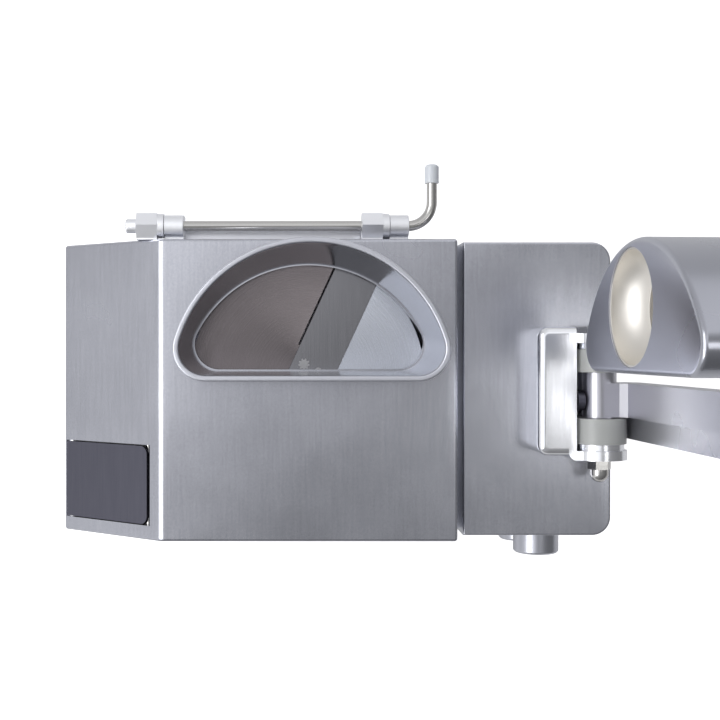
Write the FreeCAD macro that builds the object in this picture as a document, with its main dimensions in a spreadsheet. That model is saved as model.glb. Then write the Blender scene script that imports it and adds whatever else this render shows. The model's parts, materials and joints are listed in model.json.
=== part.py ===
import FreeCAD, Part
import math
import os
import re
import Sketcher

os.makedirs("parts", exist_ok=True)
doc = FreeCAD.newDocument("VegetableCutter")

# Sizes in millimetres and degrees. X and Y are measured from the spindle's axis, Z from the table.
SIZES = {
    # Where the spindle stands in the machine's own frame
    "spindle_x": -57.203,
    "spindle_y": -10.25,
    # Lid and hopper
    "lid_top": 420,
    "lid_front": 157,
    "lid_rear": 131,
    "lid_half": 141.5,
    "lid_reach": 246,
    "slope_drop": 75.6,
    "lid_deep": 84,
    "rear_step": 12,
    "lid_wall": 4,
    "lid_bend": 12,
    "lid_edge": 3,
    "lid_seat_gap": 0.6,
    "hopper_rise": 40,
    "hopper_low": 73.5,
    "hopper_wall": 5.5,
    "rim_radius": 127,
    "rim_shift_x": 2,
    "rim_shift_y": -3,
    "rim_flat": 2,
    "rim_corner": 25,
    "rim_band": 2,
    "rim_round": 1.8,
    "throat_radius": 126,
    "throat_shift_x": 1,
    "throat_shift_y": -16,
    "throat_flat": 5.5,
    "throat_corner": 25,
    "throat_high": 12,
    "throat_ledge": 1.2,
    "cover_thick": 4,
    "cover_radius": 126,
    # Lower housing, bowl and chute
    "foot_high": 18,
    "foot_radius": 18,
    "foot_inset": 30,
    "foot_screw_radius": 4,
    "plate_screw_radius": 2.5,
    "plate_screw_edge": 9,
    "plate_screw_long": 16,
    "plate_boss_radius": 7,
    "rail_screw_radius": 3,
    "rail_screw_edge": 14,
    "rail_screw_long": 16,
    "rail_screw_head": 3.5,
    "plate_thick": 6,
    "base_left": 130,
    "base_wall": 6,
    "base_corner": 12,
    "bowl_radius": 122,
    "bowl_deep": 54,
    "bowl_floor": 8,
    "outlet_half": 92,
    "chute_wall": 5,
    "chute_fall": 60,
    "chute_short": 6,
    # Drive tower
    "tower_gap": 10.4,
    "tower_wide": 145,
    "tower_drop": 37,
    "tower_wall": 5,
    "tower_corner": 18,
    "tower_edge": 2,
    "belt_window_half": 62,
    "belt_window_top": 112,
    # Cutting disc and ejector
    "disc_radius": 118,
    "disc_below": 75,
    "disc_thick": 5,
    "hub_radius": 24,
    "ejector_radius": 116,
    "ejector_thick": 4,
    "ejector_gap": 3,
    "vane_high": 24,
    "vane_thick": 6,
    "vane_inset": 2,
    "blade_turn": 24.8,
    "blade_left": 14.7,
    "blade_right": 25.4,
    "blade_thick": 1.6,
    "blade_tail": 8,
    "slot_wide": 7,
    "hub_screw_reach": 8,
    "hub_screw_radius": 4,
    # Spindle, bearings and belt drive
    "spindle_radius": 10,
    "shaft_gap": 0.03,
    "bearing_radius": 23.5,
    "bearing_wide": 14,
    "housing_radius": 34,
    "housing_long": 116,
    "flange_radius": 55,
    "flange_thick": 8,
    "seal_radius": 15,
    "pulley_low": 60,
    "pulley_wide": 30,
    "pulley_lip": 3,
    "spindle_pulley_radius": 45,
    "motor_pulley_radius": 25,
    "belt_thick": 4,
    "belt_gap": 0.3,
    "motor_inset": 73.1,
    "motor_y": -13,
    "motor_radius": 60,
    "motor_long": 190,
    "motor_shaft_radius": 9.5,
    "motor_plate_low": 122,
    "motor_plate_thick": 8,
    "motor_post_radius": 8,
    "motor_post_inset": 45,
    # Rear hinge of the lid
    "hinge_back": 144.5,
    "hinge_below": 15,
    "rod_radius": 5,
    "rod_gap": 0.06,
    "rod_bend": 23,
    "rod_right": 118.5,
    "rod_reach": 56,
    "cap_radius": 6.75,
    "cap_long": 18,
    "cap_end": 3,
    "cap_round": 2,
    "knuckle_flats": 24,
    "knuckle_left_x": -165.2,
    "knuckle_right_x": 51,
    "knuckle_long": 19.8,
    "spacer_long": 6.4,
    "spacer_radius": 12,
    "side_gap": 0.3,
    "block_long": 18.4,
    "block_round": 10.5,
    "rail_below": 20,
    "rail_deep": 17,
    "rail_thick": 12,
    "rail_drop": 100,
    "rail_plate": 8,
    "stub_radius": 7,
    "stub_long": 11,
    # Lever bracket, arm and pusher
    "lever_x": 276.5,
    "lever_below": 3,
    "lever_open": 94.2,
    "ear_front": 78.5,
    "ear_rear": 41,
    "ear_thick": 9,
    "ear_radius": 25.6,
    "bracket_left": 215,
    "bracket_wall_x": 244,
    "bracket_wall": 7,
    "bracket_high": 51,
    "bracket_pad_rear": 47,
    "bracket_pad_front": 74,
    "fork_round": 7,
    "bolt_radius": 6,
    "hub_rear": 4,
    "hub_front": 39,
    "arm_hub_radius": 16,
    "bush_radius": 25.2,
    "collar_radius": 23,
    "collar_thick": 6,
    "arm_gap": 2.6,
    "arm_front": 38,
    "arm_lift": 20,
    "arm_high": 24,
    "arm_end": 345,
    "flange_out": 21,
    "flange_from": 26.5,
    "flange_to": 38,
    "arm_round": 5,
    "clamp_high": 7,
    "bridge_from": 238,
    "bridge_to": 315,
    "bridge_lift": 48,
    "bridge_thick": 13,
    "bridge_leg": 12,
    "pusher_drop": 69,
    "pusher_high": 58,
    "pusher_gap": 3.4,
    "pusher_wall": 6,
    "pusher_edge": 4,
    "mouth_axis": 263.5,
    "mouth_y": 57.2,
    "mouth_radius": 42,
    "tube_radius": 27,
    "tube_wall": 3,
    "tube_inset": 1,
    "tube_past": 6,
    "bowl_high": 24,
    "grip_radius": 16,
    "grip_long": 110,
    # Knobs and latch
    "knob_inset": 83.5,
    "knob_upper": 325,
    "knob_lower": 242,
    "knob_radius": 23,
    "knob_proud": 26,
    "knob_edge": 2,
    "knob_gap": 1,
    "knob_stem": 4,
    "switch_side": 40,
    "switch_deep": 44,
    "switch_gap": 2,
    "flap_bend_gap": 16.4,
    "flap_wide": 75,
    "flap_thick": 3,
    "flap_gap": 1.2,
    "flap_hinge_gap": 3.2,
    "flap_proud": 1,
    "flap_low": 3,
    "flap_front": 142,
    "flap_corner": 8,
    "lug_wall": 2,
    "lug_inset": 6,
    "latch_pin_radius": 2.5,
    "tray_deep": 12,
    "tray_wall": 3,
    # Cable gland at the back of the tower
    "gland_high": 70,
    "gland_radius": 11,
    "gland_long": 20,
}

sheet = doc.addObject("Spreadsheet::Sheet", "Sizes")
for row, (name, value) in enumerate(SIZES.items(), 1):
    sheet.set("A%d" % row, name)
    sheet.set("B%d" % row, str(value))
    sheet.setAlias("B%d" % row, name)
doc.recompute()

SLOPE = "(slope_drop / (lid_reach - lid_half))"
ARM_REAR = "(hopper_wall - rim_flat + arm_gap)"
SLANT = "sqrt(1 + %s ^ 2)" % SLOPE
CHUTE_END = "(lid_reach - chute_short)"
MOTOR_X = "(lid_half + tower_gap + motor_inset)"
KNOB_X = "(lid_half + tower_gap + knob_inset)"
FLAP_END = "((lid_reach - lid_half) * %s - flap_bend_gap)" % SLANT
BEHIND = "(hinge_back - lid_rear)"
RAIL_LEFT = "(knuckle_left_x + knuckle_long + spacer_long + side_gap)"

subParts = []


def sized(formula):
    """Turn plain size names in a formula into references to the sheet."""
    def refer(found):
        return "Sizes." + found.group() if found.group() in SIZES else found.group()
    return re.sub(r"[a-z]\w*", refer, str(formula))


def number(formula):
    return float(sheet.evalExpression(sized(formula)))


def newBody(label, x="spindle_x", y="spindle_y", z=0):
    body = doc.addObject("PartDesign::Body", label)
    body.Label = label
    body.AllowCompound = True
    for axis, formula in zip("xyz", (x, y, z)):
        body.setExpression("Placement.Base." + axis, sized(formula))
    subParts.append(body)
    return body


def leverBody(label):
    """A body drawn as if the lever were pressed down, and turned up to its open stop."""
    body = newBody(label, "spindle_x + lever_x", "spindle_y", "lid_top - lever_below")
    body.Placement.Rotation = FreeCAD.Rotation(FreeCAD.Vector(0, 1, 0), number("lever_open"))
    body.setExpression("Placement.Rotation.Angle", sized("lever_open"))
    return body


def hingeBody(label, x=0):
    return newBody(label, "spindle_x + (%s)" % x, "spindle_y + hinge_back", "lid_top - hinge_below")


def newSketch(body, plane, start=0):
    """Start is the distance from the origin plane along its normal: +X, -Y or +Z."""
    base = [item for item in body.Origin.OriginFeatures if item.Role == plane + "_Plane"][0]
    sketch = body.newObject("Sketcher::SketchObject", "Outline")
    sketch.AttachmentSupport = [(base, "")]
    sketch.MapMode = "FlatFace"
    sketch.setExpression("AttachmentOffset.Base.z", sized(start))
    return sketch


def pin(sketch, geometry, place, x, y):
    """Hold one point of a sketch at its named distances from the origin."""
    for kind, formula in (("DistanceX", x), ("DistanceY", y)):
        constraint = Sketcher.Constraint(kind, -1, 1, geometry, place, number(formula))
        sketch.setExpression("Constraints[%d]" % sketch.addConstraint(constraint), sized(formula))


def setRadius(sketch, geometry, radius):
    constraint = Sketcher.Constraint("Radius", geometry, number(radius))
    sketch.setExpression("Constraints[%d]" % sketch.addConstraint(constraint), sized(radius))


def polygon(sketch, *corners):
    """Join the corners in turn. A third value is the radius of the arc that leaves the corner,
    and it is negative where the arc's centre lies to the right."""
    places = [FreeCAD.Vector(number(corner[0]), number(corner[1]), 0) for corner in corners]
    first = sketch.GeometryCount
    count = len(corners)
    ends = []
    for index, corner in enumerate(corners):
        place = places[index]
        following = places[(index + 1) % count]
        if len(corner) == 2:
            sketch.addGeometry(Part.LineSegment(place, following), False)
            ends.append((1, 2))
        else:
            sketch.addGeometry(arcBetween(place, following, number(corner[2])), False)
            ends.append((1, 2) if number(corner[2]) > 0 else (2, 1))
    for index, corner in enumerate(corners):
        other = (index + 1) % count
        join = Sketcher.Constraint("Coincident", first + index, ends[index][1], first + other, ends[other][0])
        sketch.addConstraint(join)
        pin(sketch, first + index, ends[index][0], corner[0], corner[1])
        if len(corner) == 3:
            setRadius(sketch, first + index, "abs(%s)" % corner[2])
    return sketch


def arcBetween(start, end, radius):
    """The short arc from start to end, with its centre on the left for a positive radius."""
    chord = end - start
    side = FreeCAD.Vector(-chord.y, chord.x, 0).normalize()
    rise = math.sqrt(max(radius ** 2 - (chord.Length / 2) ** 2, 0))
    centre = start + chord / 2 + side * math.copysign(rise, radius)
    angles = [math.atan2(point.y - centre.y, point.x - centre.x) for point in (start, end)]
    if radius < 0:
        angles.reverse()
    if angles[1] < angles[0]:
        angles[1] += 2 * math.pi
    return arc(centre, abs(radius), angles[0], angles[1])


def rectangle(sketch, left, low, right, high):
    return polygon(sketch, (left, low), (right, low), (right, high), (left, high))


def circle(sketch, x, y, radius):
    centre = FreeCAD.Vector(number(x), number(y), 0)
    shape = Part.Circle(centre, FreeCAD.Vector(0, 0, 1), number(radius))
    index = sketch.addGeometry(shape, False)
    pin(sketch, index, 3, x, y)
    setRadius(sketch, index, radius)
    return sketch


def arc(centre, radius, start, end):
    round_edge = Part.Circle(centre, FreeCAD.Vector(0, 0, 1), radius)
    return Part.ArcOfCircle(round_edge, start, end)


def halfMoon(sketch, x, y, radius, flat, corner):
    """A disc cut off by a flat side at Y = flat, with rounded corners between them."""
    middle = FreeCAD.Vector(number(x), number(y), 0)
    r = number(radius)
    c = number(corner)
    level = number(flat) + c
    reach = math.sqrt((r - c) ** 2 - (level - middle.y) ** 2)
    right = FreeCAD.Vector(middle.x + reach, level, 0)
    left = FreeCAD.Vector(middle.x - reach, level, 0)
    turn = math.atan2(level - middle.y, reach)
    low = FreeCAD.Vector(0, -c, 0)
    first = sketch.GeometryCount
    sketch.addGeometry(Part.LineSegment(left + low, right + low), False)
    sketch.addGeometry(arc(right, c, -math.pi / 2, turn), False)
    sketch.addGeometry(arc(middle, r, turn, math.pi - turn), False)
    sketch.addGeometry(arc(left, c, math.pi - turn, 3 * math.pi / 2), False)
    joins = ((0, 2, 1, 1), (1, 2, 2, 1), (2, 2, 3, 1), (3, 2, 0, 1))
    for one, end, other, begin in joins:
        sketch.addConstraint(Sketcher.Constraint("Tangent", first + one, end, first + other, begin))
    sketch.addConstraint(Sketcher.Constraint("Horizontal", first))
    level_line = Sketcher.Constraint("DistanceY", -1, 1, first, 1, number(flat))
    sketch.setExpression("Constraints[%d]" % sketch.addConstraint(level_line), sized(flat))
    pin(sketch, first + 2, 3, x, y)
    setRadius(sketch, first + 2, radius)
    setRadius(sketch, first + 1, corner)
    setRadius(sketch, first + 3, corner)
    return sketch


def beltLoop(sketch, x, y, large, small):
    """The outline round two pulleys, the large one at the origin."""
    far = FreeCAD.Vector(number(x), number(y), 0)
    big = number(large)
    little = number(small)
    lean = math.acos((big - little) / far.Length)
    course = math.atan2(far.y, far.x)
    first = sketch.GeometryCount
    up = FreeCAD.Vector(math.cos(course + lean), math.sin(course + lean), 0)
    down = FreeCAD.Vector(math.cos(course - lean), math.sin(course - lean), 0)
    sketch.addGeometry(arc(FreeCAD.Vector(), big, course + lean, course - lean + 2 * math.pi), False)
    sketch.addGeometry(Part.LineSegment(down * big, far + down * little), False)
    sketch.addGeometry(arc(far, little, course - lean, course + lean), False)
    sketch.addGeometry(Part.LineSegment(far + up * little, up * big), False)
    joins = ((0, 2, 1, 1), (1, 2, 2, 1), (2, 2, 3, 1), (3, 2, 0, 1))
    for one, end, other, begin in joins:
        sketch.addConstraint(Sketcher.Constraint("Tangent", first + one, end, first + other, begin))
    sketch.addConstraint(Sketcher.Constraint("Coincident", first, 3, -1, 1))
    pin(sketch, first + 2, 3, x, y)
    setRadius(sketch, first, large)
    setRadius(sketch, first + 2, small)
    return sketch


def pad(body, sketch, length):
    feature = body.newObject("PartDesign::Pad", "Pad")
    feature.Profile = sketch
    feature.setExpression("Length", sized(length))
    return feature


def pocket(body, sketch, length):
    """Cut along the sketch's own normal."""
    feature = body.newObject("PartDesign::Pocket", "Pocket")
    feature.Profile = sketch
    feature.Reversed = True
    feature.setExpression("Length", sized(length))
    return feature


def turned(body, plane, axis, *corners, cut=False):
    """A profile turned about the horizontal (H) or upright (V) axis of its plane."""
    sketch = polygon(newSketch(body, plane), *corners)
    kind = "PartDesign::Groove" if cut else "PartDesign::Revolution"
    feature = body.newObject(kind, "Turned")
    feature.Profile = sketch
    feature.ReferenceAxis = (sketch, [axis + "_Axis"])
    return feature


def loft(body, low, high, cut=False):
    kind = "PartDesign::SubtractiveLoft" if cut else "PartDesign::AdditiveLoft"
    feature = body.newObject(kind, "Loft")
    feature.Profile = low
    feature.Sections = [high]
    feature.Ruled = True
    return feature


def fillet(body, radius, chosen, kind="Fillet"):
    """Round the edges of the body's last feature that the rule picks."""
    doc.recompute()
    base = body.Tip
    names = ["Edge%d" % (i + 1) for i, edge in enumerate(base.Shape.Edges) if chosen(edge)]
    feature = body.newObject("PartDesign::" + kind, kind)
    feature.Base = (base, names)
    feature.setExpression("Radius" if kind == "Fillet" else "Size", sized(radius))
    return feature


def runs(edge, direction):
    """True for a straight edge along the given axis."""
    if not isinstance(edge.Curve, Part.Line):
        return False
    return abs(abs(edge.tangentAt(edge.FirstParameter).dot(direction)) - 1) < 1e-6


ALONG_X = FreeCAD.Vector(1, 0, 0)
ALONG_Y = FreeCAD.Vector(0, 1, 0)
ALONG_Z = FreeCAD.Vector(0, 0, 1)


def near(value, formula, slack=0.6):
    return abs(value - number(formula)) < slack


def repeatRound(body, feature, count):
    """Repeat a feature round the body's own Z axis."""
    pattern = body.newObject("PartDesign::PolarPattern", "Pattern")
    pattern.Originals = [feature]
    upright = [item for item in body.Origin.OriginFeatures if item.Role == "Z_Axis"][0]
    pattern.Axis = (upright, [""])
    pattern.Angle = 360
    pattern.Occurrences = count
    body.Tip = pattern
    return pattern


def baseHousing():
    """The cast lower housing with the round cutting bowl and its outlet to the left."""
    body = newBody("base_housing")
    top = "lid_top - lid_deep - lid_seat_gap"
    low = "foot_high + plate_thick"
    right = "lid_half + tower_gap"
    floor = "lid_top - lid_deep - bowl_deep"
    block = rectangle(newSketch(body, "XY", low), "-base_left", "-lid_front", right, "lid_rear")
    pad(body, block, "%s - (%s)" % (top, low))
    fillet(body, "base_corner", lambda edge: runs(edge, ALONG_Z) and edge.CenterOfMass.x < 0)
    hollow = newSketch(body, "XY", low)
    rectangle(hollow, "-base_left + base_wall", "-lid_front + base_wall", right + " - base_wall",
              "lid_rear - base_wall")
    pocket(body, hollow, "%s - bowl_floor - (%s)" % (floor, low))
    fillet(body, "base_corner - base_wall",
           lambda edge: runs(edge, ALONG_Z) and edge.CenterOfMass.x < 0 and
           near(edge.CenterOfMass.x, "-base_left + base_wall"))
    bowl = circle(newSketch(body, "XY", floor), 0, 0, "bowl_radius")
    pocket(body, bowl, "bowl_deep")
    outlet = newSketch(body, "XY", floor)
    rectangle(outlet, "-base_left", "-outlet_half", 0, "outlet_half")
    pocket(body, outlet, "bowl_deep")
    seal = circle(newSketch(body, "XY", floor + " - bowl_floor"), 0, 0, "seal_radius")
    pocket(body, seal, "bowl_floor")
    screwBosses(body)
    rail_holes = newSketch(body, "XZ", "-lid_rear")
    for x, z in railScrewPlaces():
        circle(rail_holes, "%s + %s" % (RAIL_LEFT, x), "lid_top - hinge_below " + z, "rail_screw_radius")
    pocket(body, rail_holes, "rail_screw_long - rail_plate")
    rear = newSketch(body, "XY", top)
    rectangle(rear, "-base_left + base_corner", "lid_rear - lid_wall", "lid_half", "lid_rear")
    pad(body, rear, "rear_step")
    window = newSketch(body, "YZ", right + " - base_wall")
    rectangle(window, "motor_y - belt_window_half", low, "motor_y + belt_window_half", "belt_window_top")
    pocket(body, window, "base_wall")


def outletChute():
    """The trough under the lid's slope, down which the cut food slides."""
    body = newBody("outlet_chute")
    top = "lid_top - lid_deep - lid_seat_gap"
    floor = "lid_top - lid_deep - bowl_deep"
    side = "outlet_half + chute_wall"
    outline = newSketch(body, "XZ", "-(%s)" % side)
    polygon(outline, ("-base_left", top), ("-base_left", floor + " - bowl_floor"),
            ("-" + CHUTE_END, floor + " - bowl_floor - chute_fall"), ("-" + CHUTE_END, top))
    pad(body, outline, "2 * (%s)" % side)
    inner = newSketch(body, "XZ", "-outlet_half")
    polygon(inner, ("-base_left", top), ("-base_left", floor), ("-" + CHUTE_END, floor + " - chute_fall"),
            ("-" + CHUTE_END, top))
    pocket(body, inner, "2 * outlet_half")


def driveHousing():
    """The tower that holds the motor, open at the bottom and at the belt's window."""
    body = newBody("drive_housing")
    left = "lid_half + tower_gap"
    right = left + " + tower_wide"
    low = "foot_high + plate_thick"
    top = "lid_top - tower_drop"
    block = rectangle(newSketch(body, "XY", low), left, "-lid_front", right, "lid_rear")
    pad(body, block, "%s - (%s)" % (top, low))
    fillet(body, "tower_corner", lambda edge: runs(edge, ALONG_Z) and near(edge.CenterOfMass.x, right))
    fillet(body, "tower_edge", lambda edge: near(edge.CenterOfMass.z, top) and
           near(edge.BoundBox.ZMin, top))
    hollow = newSketch(body, "XY", low)
    inner_right = right + " - tower_wall"
    turn = "(tower_corner - tower_wall)"
    polygon(hollow, (left + " + tower_wall", "-lid_front + tower_wall"),
            ("%s - %s" % (inner_right, turn), "-lid_front + tower_wall", turn),
            (inner_right, "-lid_front + tower_wall + " + turn),
            (inner_right, "lid_rear - tower_wall - " + turn, turn),
            ("%s - %s" % (inner_right, turn), "lid_rear - tower_wall"),
            (left + " + tower_wall", "lid_rear - tower_wall"))
    pocket(body, hollow, "%s - tower_wall - (%s)" % (top, low))
    screwBosses(body)
    window = newSketch(body, "YZ", left)
    rectangle(window, "motor_y - belt_window_half", low, "motor_y + belt_window_half", "belt_window_top")
    pocket(body, window, "tower_wall")
    stems = newSketch(body, "XZ", "lid_front - tower_wall")
    circle(stems, KNOB_X, "knob_upper", "knob_stem + knob_gap")
    circle(stems, KNOB_X, "knob_lower", "knob_stem + knob_gap")
    pocket(body, stems, "tower_wall")
    gland = newSketch(body, "XZ", "-lid_rear")
    circle(gland, MOTOR_X, "foot_high + gland_high", "gland_radius - 3")
    pocket(body, gland, "tower_wall")


def footPlaces():
    """The four feet, at the same distance from the edges of the base plate."""
    right = "lid_half + tower_gap + tower_wide"
    for x in ("-base_left + foot_inset", right + " - foot_inset"):
        for y in ("-lid_front + foot_inset", "lid_rear - foot_inset"):
            yield x, y


def basePlate():
    body = newBody("base_plate")
    right = "lid_half + tower_gap + tower_wide"
    sheet_outline = newSketch(body, "XY", "foot_high")
    rectangle(sheet_outline, "-base_left", "-lid_front", right, "lid_rear")
    pad(body, sheet_outline, "plate_thick")
    fillet(body, "base_corner", lambda edge: runs(edge, ALONG_Z) and edge.CenterOfMass.x < 0)
    fillet(body, "tower_corner", lambda edge: runs(edge, ALONG_Z) and near(edge.CenterOfMass.x, right))
    holes = newSketch(body, "XY", "foot_high")
    for x, y in footPlaces():
        circle(holes, x, y, "foot_screw_radius")
    sinks = newSketch(body, "XY", "foot_high")
    for x, y in screwPlaces("base_housing") + screwPlaces("drive_housing"):
        circle(holes, x, y, "plate_screw_radius")
        circle(sinks, x, y, "plate_screw_radius * 2")
    pocket(body, holes, "plate_thick")
    pocket(body, sinks, "plate_screw_radius")


def feet():
    body = newBody("feet")
    rounds = newSketch(body, "XY", 0)
    for x, y in footPlaces():
        circle(rounds, x, y, "foot_radius")
    pad(body, rounds, "foot_high")
    holes = newSketch(body, "XY", "foot_high / 3")
    for x, y in footPlaces():
        circle(holes, x, y, "foot_screw_radius")
    pocket(body, holes, "foot_high")
    fillet(body, "foot_high / 6", lambda edge: near(edge.BoundBox.ZMax, 0), "Chamfer")


def footScrews():
    body = newBody("foot_screws")
    shanks = newSketch(body, "XY", "foot_high / 3")
    for x, y in footPlaces():
        circle(shanks, x, y, "foot_screw_radius")
    pad(body, shanks, "foot_high * 2 / 3 + plate_thick")
    nuts = newSketch(body, "XY", "foot_high + plate_thick")
    for x, y in footPlaces():
        circle(nuts, x, y, "foot_screw_radius * 1.8")
    pad(body, nuts, "foot_screw_radius")


def plateScrews():
    """Countersunk screws that hold the base plate to bosses in both housings."""
    body = newBody("plate_screws")
    places = screwPlaces("base_housing") + screwPlaces("drive_housing")
    shanks = newSketch(body, "XY", "foot_high")
    heads = newSketch(body, "XY", "foot_high")
    sockets = newSketch(body, "XY", "foot_high")
    for x, y in places:
        circle(shanks, x, y, "plate_screw_radius")
        circle(heads, x, y, "plate_screw_radius * 2")
        circle(sockets, x, y, "plate_screw_radius * 0.8")
    pad(body, shanks, "plate_screw_long")
    pad(body, heads, "plate_screw_radius")
    pocket(body, sockets, "plate_screw_radius * 0.6")


def screwPlaces(housing):
    """Where the base plate's screws enter a housing, along its front and rear walls."""
    across = {"base_housing": ("-base_left / 2", "(lid_half + tower_gap) / 2"),
              "drive_housing": ("lid_half + tower_gap + tower_wide / 2",)}
    rows = ("-lid_front + plate_screw_edge", "lid_rear - plate_screw_edge")
    return [(x, y) for x in across[housing] for y in rows]


def screwBosses(body):
    """Bosses inside a housing's walls for the base plate's screws."""
    low = "foot_high + plate_thick"
    bosses = newSketch(body, "XY", low)
    holes = newSketch(body, "XY", low)
    for x, y in screwPlaces(body.Label):
        circle(bosses, x, y, "plate_boss_radius")
        circle(holes, x, y, "plate_screw_radius")
    pad(body, bosses, "plate_screw_long")
    pocket(body, holes, "plate_screw_long - plate_thick")


def railScrewPlaces():
    """The rail's screws, by their distance from its left end and from the hinge's axis."""
    long = "(knuckle_right_x - knuckle_left_x + block_long)"
    level = "-rail_drop + rail_screw_edge"
    return [("rail_screw_edge * 2", level), (long + " / 2", level), (long + " - rail_screw_edge * 2", level)]


def railScrews():
    body = hingeBody("rail_screws", RAIL_LEFT)
    face = BEHIND + " - rail_plate"
    heads = newSketch(body, "XZ", face + " - rail_screw_head")
    shanks = newSketch(body, "XZ", face)
    sockets = newSketch(body, "XZ", face + " - rail_screw_head")
    for x, z in railScrewPlaces():
        circle(heads, x, z, "rail_screw_radius * 1.7")
        circle(shanks, x, z, "rail_screw_radius")
        circle(sockets, x, z, "rail_screw_radius * 0.9")
    pad(body, heads, "rail_screw_head")
    pad(body, shanks, "rail_screw_long")
    pocket(body, sockets, "rail_screw_head * 0.6")


def spindleGroup():
    floor = "lid_top - lid_deep - bowl_deep"
    under = floor + " - bowl_floor"
    bottom = under + " - flange_thick - housing_long"
    house = newBody("bearing_housing")
    turned(house, "XZ", "V", ("bearing_radius", bottom), ("housing_radius", bottom),
           ("housing_radius", under + " - flange_thick"), ("flange_radius", under + " - flange_thick"),
           ("flange_radius", under), ("bearing_radius", under))
    bearings = newBody("spindle_bearings")
    bore = "spindle_radius + shaft_gap"
    for low in (bottom, under + " - bearing_wide"):
        ring = newSketch(bearings, "XY", low)
        circle(ring, 0, 0, "bearing_radius")
        circle(ring, 0, 0, bore)
        pad(bearings, ring, "bearing_wide")
    seal = newBody("shaft_seal")
    ring = newSketch(seal, "XY", under)
    circle(ring, 0, 0, "seal_radius")
    circle(ring, 0, 0, bore)
    pad(seal, ring, "bowl_floor")
    spindle = newBody("spindle")
    shaft = circle(newSketch(spindle, "XY", "pulley_low"), 0, 0, "spindle_radius")
    pad(spindle, shaft, "lid_top - disc_below - disc_thick - pulley_low")
    pulley = newBody("spindle_pulley")
    pulleyProfile(pulley, "spindle_pulley_radius", "spindle_radius")


def pulleyProfile(body, radius, bore):
    top = "pulley_low + pulley_wide"
    rim = radius + " + pulley_lip"
    turned(body, "XZ", "V", (bore, "pulley_low"), (rim, "pulley_low"), (rim, "pulley_low + pulley_lip"),
           (radius, "pulley_low + pulley_lip"), (radius, top + " - pulley_lip"), (rim, top + " - pulley_lip"),
           (rim, top), (bore, top))


def cutterGroup():
    """Ejector plate, cutting disc, blade and hub screws, all on the spindle."""
    floor = "lid_top - lid_deep - bowl_deep"
    disc_top = "lid_top - disc_below"
    plate_low = floor + " + ejector_gap"
    ejector = newBody("ejector_plate")
    plate = newSketch(ejector, "XY", plate_low)
    circle(plate, 0, 0, "ejector_radius")
    circle(plate, 0, 0, "spindle_radius")
    pad(ejector, plate, "ejector_thick")
    hub = newSketch(ejector, "XY", plate_low)
    circle(hub, 0, 0, "hub_radius")
    circle(hub, 0, 0, "spindle_radius")
    pad(ejector, hub, "%s - disc_thick - (%s)" % (disc_top, plate_low))
    vane = newSketch(ejector, "XY", plate_low)
    rectangle(vane, "hub_radius - vane_inset", "-vane_thick / 2",
              "ejector_radius - vane_inset", "vane_thick / 2")
    repeatRound(ejector, pad(ejector, vane, "vane_high + ejector_thick"), 4)

    disc = newBody("slicing_disc")
    disc.Placement.Rotation = FreeCAD.Rotation(FreeCAD.Vector(0, 0, 1), -number("blade_turn"))
    disc.setExpression("Placement.Rotation.Angle", sized("-blade_turn"))
    disc.Placement.Rotation.Axis = FreeCAD.Vector(0, 0, 1)
    round_plate = circle(newSketch(disc, "XY", disc_top + " - disc_thick"), 0, 0, "disc_radius")
    pad(disc, round_plate, "disc_thick")
    slot = newSketch(disc, "XY", disc_top + " - disc_thick")
    reach = "sqrt(disc_radius ^ 2 - blade_left ^ 2) - disc_thick"
    rectangle(slot, "-blade_left - slot_wide", "hub_radius", "-blade_left", reach)
    pocket(disc, slot, "disc_thick")
    seat = newSketch(disc, "XY", disc_top + " - blade_thick")
    rectangle(seat, "-blade_left", "hub_radius - blade_tail", "blade_right", reach)
    pocket(disc, seat, "blade_thick")
    hubScrewHoles(disc, disc_top + " - disc_thick", "disc_thick")

    blade = newBody("blade")
    blade.Placement.Rotation = FreeCAD.Rotation(FreeCAD.Vector(0, 0, 1), -number("blade_turn"))
    blade.setExpression("Placement.Rotation.Angle", sized("-blade_turn"))
    strip = rectangle(newSketch(blade, "XY", disc_top + " - blade_thick"), "-blade_left + side_gap",
                      "hub_radius - blade_tail + side_gap", "blade_right - side_gap", reach + " - side_gap")
    pad(blade, strip, "blade_thick")

    screws = newBody("hub_screws")
    screws.Placement.Rotation = FreeCAD.Rotation(FreeCAD.Vector(0, 0, 1), -number("blade_turn"))
    screws.setExpression("Placement.Rotation.Angle", sized("-blade_turn"))
    heads = newSketch(screws, "XY", disc_top + " - disc_thick")
    for x in ("-hub_screw_reach", "hub_screw_reach"):
        for y in ("-hub_screw_reach", "hub_screw_reach"):
            circle(heads, x, y, "hub_screw_radius")
    pad(screws, heads, "disc_thick")
    sockets = newSketch(screws, "XY", disc_top + " - disc_thick / 2")
    for x in ("-hub_screw_reach", "hub_screw_reach"):
        for y in ("-hub_screw_reach", "hub_screw_reach"):
            circle(sockets, x, y, "hub_screw_radius / 2")
    pocket(screws, sockets, "disc_thick")


def hubScrewHoles(body, start, deep):
    holes = newSketch(body, "XY", start)
    for x in ("-hub_screw_reach", "hub_screw_reach"):
        for y in ("-hub_screw_reach", "hub_screw_reach"):
            circle(holes, x, y, "hub_screw_radius")
    pocket(body, holes, deep)


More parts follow.
